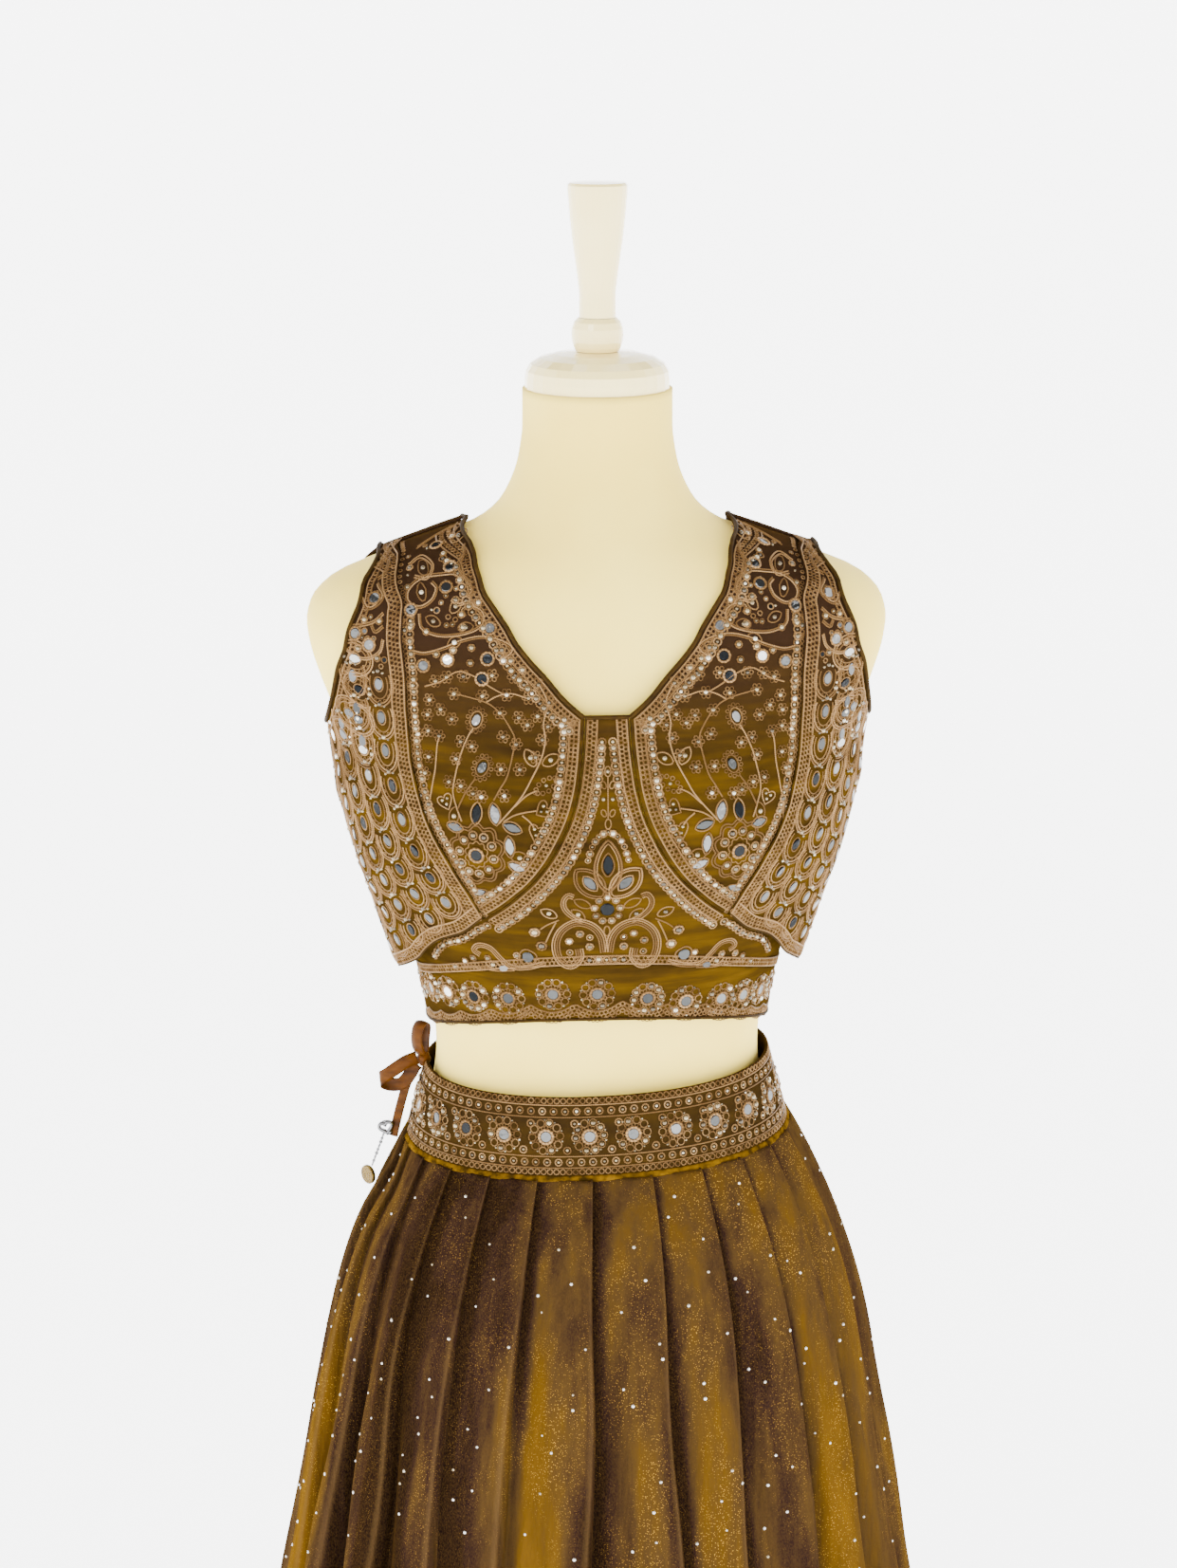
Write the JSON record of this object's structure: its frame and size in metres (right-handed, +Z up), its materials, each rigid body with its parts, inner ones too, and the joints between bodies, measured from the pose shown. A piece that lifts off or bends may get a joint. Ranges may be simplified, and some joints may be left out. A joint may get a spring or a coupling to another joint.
{
  "type": "pleated lehenga skirt and sleeveless choli blouse on a limbless dress form",
  "caption": "embroidered sleeveless choli with cups and side panels, waistband and long knife-pleated skirt, on a limbless dress form with turned finial, pole and round base",
  "frame": {"origin": "middle of the bounding box on the floor, under the dress form's round base", "axes": "+Z up along the pole; the garment's front faces -Y; +X is the side at the viewer's right when the front is looked at"},
  "size_m": [0.7103, 0.6357, 1.6452],
  "materials": {
    "jersey": "cream cotton jersey stretched smooth over the form",
    "gloss": "cream gloss",
    "pole_steel": "satin tube",
    "base_paint": "cream powder coat",
    "choli_fabric": "dark brown silk ground with dense rose-gold cord embroidery and small mirrors",
    "skirt_fabric": "shot tissue silk, brown and gold, with tiny studs",
    "ribbon": "orange-brown satin ribbon",
    "charm_steel": "dark silver wire",
    "charm_brass": "pale gold, textured"
  },
  "bodies": {
    "root": {"form_torso": "jersey", "neck_cap": "gloss", "neck_ball": "gloss", "finial": "gloss", "form_pole": "pole_steel", "form_base": "base_paint", "choli_cup_left": "choli_fabric", "choli_cup_right": "choli_fabric", "choli_side_left": "choli_fabric", "choli_side_right": "choli_fabric", "choli_centre": "choli_fabric", "choli_band_front": "choli_fabric", "choli_back_left": "choli_fabric", "choli_back_right": "choli_fabric", "waistband_front": "choli_fabric", "waistband_back": "choli_fabric", "skirt_front": "skirt_fabric", "skirt_back": "skirt_fabric", "drawstring_knot": "ribbon", "drawstring_loop_upper": "ribbon", "drawstring_loop_outer": "ribbon", "drawstring_tail": "ribbon", "charm_ring": "charm_steel", "charm_link": "charm_steel", "charm_disc": "charm_brass"}
  },
  "joints": []
}
